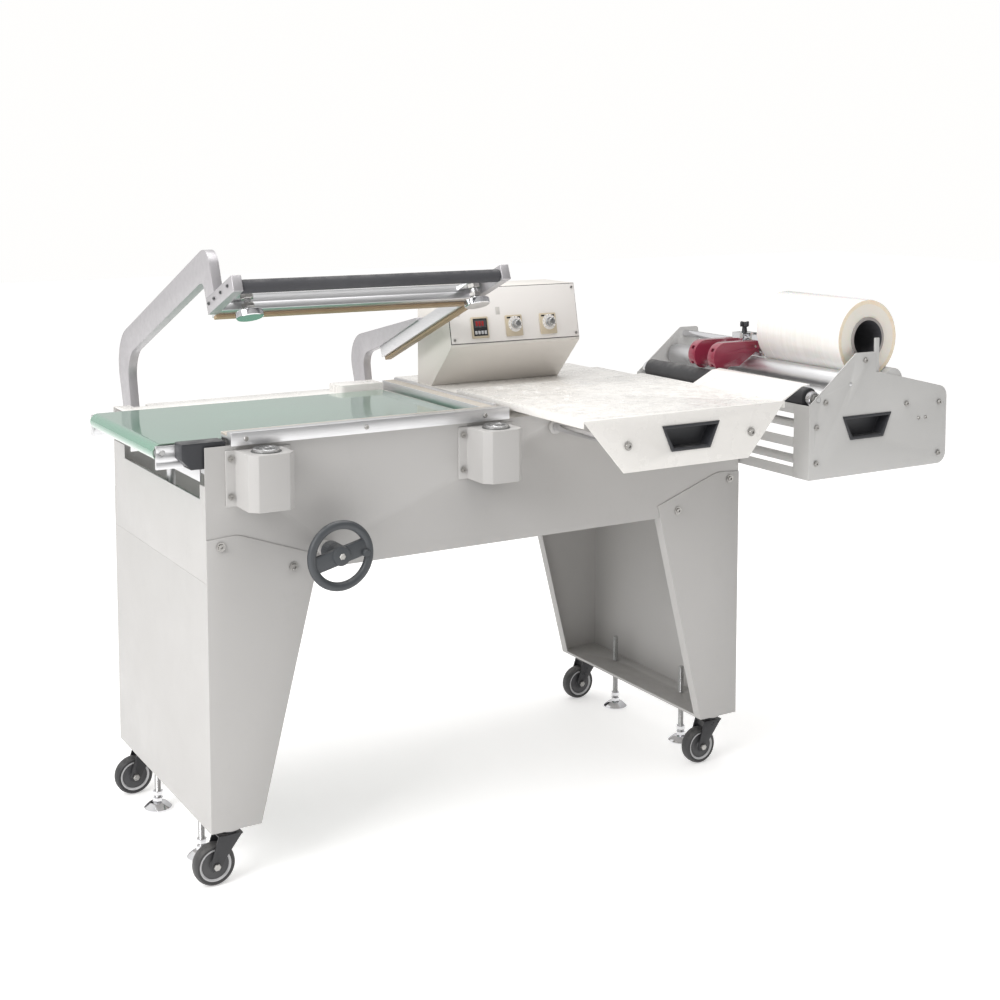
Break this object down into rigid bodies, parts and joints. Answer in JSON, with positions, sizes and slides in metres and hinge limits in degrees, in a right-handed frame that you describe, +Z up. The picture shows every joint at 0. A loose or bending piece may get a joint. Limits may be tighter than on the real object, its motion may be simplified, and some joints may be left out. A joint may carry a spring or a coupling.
{
  "type": "l-bar sealer",
  "caption": "Semi-automatic L-bar sealer on casters with a hinged sealing head, belt conveyor, sliding film tray and film unwinder.",
  "frame": {"origin": "on the floor, below the middle of the whole machine with its head raised", "axes": "+X from the outfeed end to the film unwinder, +Y from the operator's side to the back, +Z up"},
  "size_m": [1.621, 0.8582, 1.1115],
  "materials": {
    "frame_paint": "fine textured powder coat, warm light grey",
    "cream_paint": "satin powder coat, warm off-white",
    "unwinder_paint": "satin powder coat, light grey",
    "aluminium": "brushed and clear anodised",
    "steel": "ground",
    "chrome": "bright plated",
    "brass": "turned, yellow zinc",
    "belt": "glossy green conveyor belting",
    "silicone": "silicone sponge under glass cloth tape",
    "seal_tape": "tan PTFE tape",
    "black_plastic": "moulded black",
    "foam": "closed-cell foam sleeve",
    "black_rubber": "ground rubber",
    "tyre": "black polyurethane",
    "red_plastic": "glossy red",
    "beige_plastic": "beige instrument bezel",
    "silver_knob": "turned dial cap",
    "panel_face": "printed panel face, left bare",
    "film": "clear shrink film",
    "film_stack": "milky film wound in layers",
    "core_tube": "grey core tube",
    "black_plastic_fork": "black enamelled pressing"
  },
  "bodies": {
    "stand": {"leg_left": "frame_paint", "leg_right": "frame_paint", "front_sheet": "frame_paint", "rear_sheet": "frame_paint", "end_panels": "frame_paint", "table_plates": "cream_paint", "frame_bolts": "steel", "magnet_boxes": "frame_paint", "electromagnets": "steel", "jaw_rail_long": "aluminium", "jaw_rail_side": "aluminium", "jaw_silicone": "silicone", "stand_brackets": "frame_paint", "control_box": "cream_paint", "control_panel": "panel_face", "panel_instruments": "beige_plastic", "bearing_bushes": "brass"},
    "conveyor": {"conveyor_frame": "aluminium", "conveyor_belt": "belt", "motor_cover": "black_plastic"},
    "tail_roller": {"tail_roller": "aluminium"},
    "handwheel": {"handwheel": "black_plastic"},
    "head": {"arm_left": "aluminium", "arm_right": "aluminium", "pivot_shaft": "steel", "sealing_bar_long": "aluminium", "sealing_bar_side": "aluminium", "sealing_strips": "seal_tape", "grip_brackets": "aluminium", "grip_tube": "foam", "armatures": "chrome"},
    "tray": {"film_tray": "cream_paint", "tray_pull": "black_plastic", "tray_rods": "chrome", "film_sheet": "film"},
    "unwinder": {"unwinder_side_front": "unwinder_paint", "unwinder_side_back": "unwinder_paint", "unwinder_pull": "black_plastic", "unwinder_bars": "steel", "punch_carrier": "black_plastic"},
    "film_roll": {"film_roll": "film_stack", "film_core": "core_tube"},
    "rubber_roller": {"rubber_roller": "black_rubber"},
    "cradle_roller": {"cradle_roller": "aluminium"},
    "punch_arm_front": {"punch_arm_front": "red_plastic"},
    "punch_arm_back": {"punch_arm_back": "red_plastic"},
    "timer_knob_left": {"timer_knob_left": "silver_knob"},
    "timer_knob_right": {"timer_knob_right": "silver_knob"},
    "caster_fork_left_front": {"caster_fork_left_front": "black_plastic_fork"},
    "caster_wheel_left_front": {"caster_wheel_left_front": "tyre"},
    "levelling_foot_left_front": {"levelling_foot_left_front": "steel"},
    "caster_fork_left_back": {"caster_fork_left_back": "black_plastic_fork"},
    "caster_wheel_left_back": {"caster_wheel_left_back": "tyre"},
    "levelling_foot_left_back": {"levelling_foot_left_back": "steel"},
    "caster_fork_right_front": {"caster_fork_right_front": "black_plastic_fork"},
    "caster_wheel_right_front": {"caster_wheel_right_front": "tyre"},
    "levelling_foot_right_front": {"levelling_foot_right_front": "steel"},
    "caster_fork_right_back": {"caster_fork_right_back": "black_plastic_fork"},
    "caster_wheel_right_back": {"caster_wheel_right_back": "tyre"},
    "levelling_foot_right_back": {"levelling_foot_right_back": "steel"}
  },
  "joints": [
    {"name": "head_hinge", "type": "hinge", "parent": "stand", "child": "head", "pos_m": [-0.4275, 0.3639, 0.722], "axis": [1, 0, 0], "range_deg": [0, 22], "stiffness_Nm_per_rad": 15, "springref_deg": -97.4},
    {"name": "conveyor_lift", "type": "slide", "parent": "stand", "child": "conveyor", "axis": [0, 0, 1], "range_m": [-0.025, 0.006]},
    {"name": "handwheel_turn", "type": "hinge", "parent": "stand", "child": "handwheel", "pos_m": [-0.5195, -0.2141, 0.584], "axis": [0, 1, 0], "range_deg": [-451, 109]},
    {"name": "tail_roller_spin", "type": "hinge", "parent": "conveyor", "child": "tail_roller", "pos_m": [-0.7955, 0.0544, 0.772], "axis": [0, 1, 0], "continuous": true},
    {"name": "tray_slide", "type": "slide", "parent": "stand", "child": "tray", "axis": [0, 1, 0], "range_m": [-0.12, 0.1]},
    {"name": "unwinder_slide", "type": "slide", "parent": "stand", "child": "unwinder", "axis": [0, 1, 0], "range_m": [-0.1, 0.1]},
    {"name": "film_roll_spin", "type": "hinge", "parent": "unwinder", "child": "film_roll", "pos_m": [0.5985, -0.2481, 0.908], "axis": [0, 1, 0], "continuous": true},
    {"name": "rubber_roller_spin", "type": "hinge", "parent": "unwinder", "child": "rubber_roller", "pos_m": [0.4535, -0.1021, 0.797], "axis": [0, 1, 0], "continuous": true},
    {"name": "cradle_roller_spin", "type": "hinge", "parent": "unwinder", "child": "cradle_roller", "pos_m": [0.5385, -0.1021, 0.82183], "axis": [0, 1, 0], "continuous": true},
    {"name": "punch_arm_front_lift", "type": "hinge", "parent": "unwinder", "child": "punch_arm_front", "pos_m": [0.5335, -0.0941, 0.86933], "axis": [0, 1, 0], "range_deg": [0, 35]},
    {"name": "punch_arm_back_lift", "type": "hinge", "parent": "unwinder", "child": "punch_arm_back", "pos_m": [0.5335, -0.0281, 0.86933], "axis": [0, 1, 0], "range_deg": [0, 35]},
    {"name": "timer_left_turn", "type": "hinge", "parent": "stand", "child": "timer_knob_left", "pos_m": [0.0335, 0.07622, 0.92813], "axis": [0, -0.9781, 0.2079], "range_deg": [-135, 135]},
    {"name": "timer_right_turn", "type": "hinge", "parent": "stand", "child": "timer_knob_right", "pos_m": [0.1175, 0.07622, 0.92813], "axis": [0, -0.9781, 0.2079], "range_deg": [-135, 135]},
    {"name": "caster_swivel_left_front", "type": "hinge", "parent": "stand", "child": "caster_fork_left_front", "pos_m": [-0.6925, -0.1501, 0.09], "axis": [0, 0, 1], "continuous": true},
    {"name": "caster_spin_left_front", "type": "hinge", "parent": "caster_fork_left_front", "child": "caster_wheel_left_front", "pos_m": [-0.7215, -0.1501, 0.0375], "axis": [0, 1, 0], "continuous": true},
    {"name": "foot_screw_left_front", "type": "slide", "parent": "stand", "child": "levelling_foot_left_front", "axis": [0, 0, 1], "range_m": [0, 0.012]},
    {"name": "caster_swivel_left_back", "type": "hinge", "parent": "stand", "child": "caster_fork_left_back", "pos_m": [-0.6925, 0.3069, 0.09], "axis": [0, 0, 1], "continuous": true},
    {"name": "caster_spin_left_back", "type": "hinge", "parent": "caster_fork_left_back", "child": "caster_wheel_left_back", "pos_m": [-0.7215, 0.3069, 0.0375], "axis": [0, 1, 0], "continuous": true},
    {"name": "foot_screw_left_back", "type": "slide", "parent": "stand", "child": "levelling_foot_left_back", "axis": [0, 0, 1], "range_m": [0, 0.012]},
    {"name": "caster_swivel_right_front", "type": "hinge", "parent": "stand", "child": "caster_fork_right_front", "pos_m": [0.3815, -0.1501, 0.09], "axis": [0, 0, 1], "continuous": true},
    {"name": "caster_spin_right_front", "type": "hinge", "parent": "caster_fork_right_front", "child": "caster_wheel_right_front", "pos_m": [0.3525, -0.1501, 0.0375], "axis": [0, 1, 0], "continuous": true},
    {"name": "foot_screw_right_front", "type": "slide", "parent": "stand", "child": "levelling_foot_right_front", "axis": [0, 0, 1], "range_m": [0, 0.012]},
    {"name": "caster_swivel_right_back", "type": "hinge", "parent": "stand", "child": "caster_fork_right_back", "pos_m": [0.3815, 0.3069, 0.09], "axis": [0, 0, 1], "continuous": true},
    {"name": "caster_spin_right_back", "type": "hinge", "parent": "caster_fork_right_back", "child": "caster_wheel_right_back", "pos_m": [0.3525, 0.3069, 0.0375], "axis": [0, 1, 0], "continuous": true},
    {"name": "foot_screw_right_back", "type": "slide", "parent": "stand", "child": "levelling_foot_right_back", "axis": [0, 0, 1], "range_m": [0, 0.012]}
  ],
  "couplings": [
    {"joint": "handwheel_turn", "follows": "conveyor_lift", "rad_per_m": 314.16},
    {"joint": "cradle_roller_spin", "follows": "film_roll_spin", "ratio": -3.2389}
  ]
}
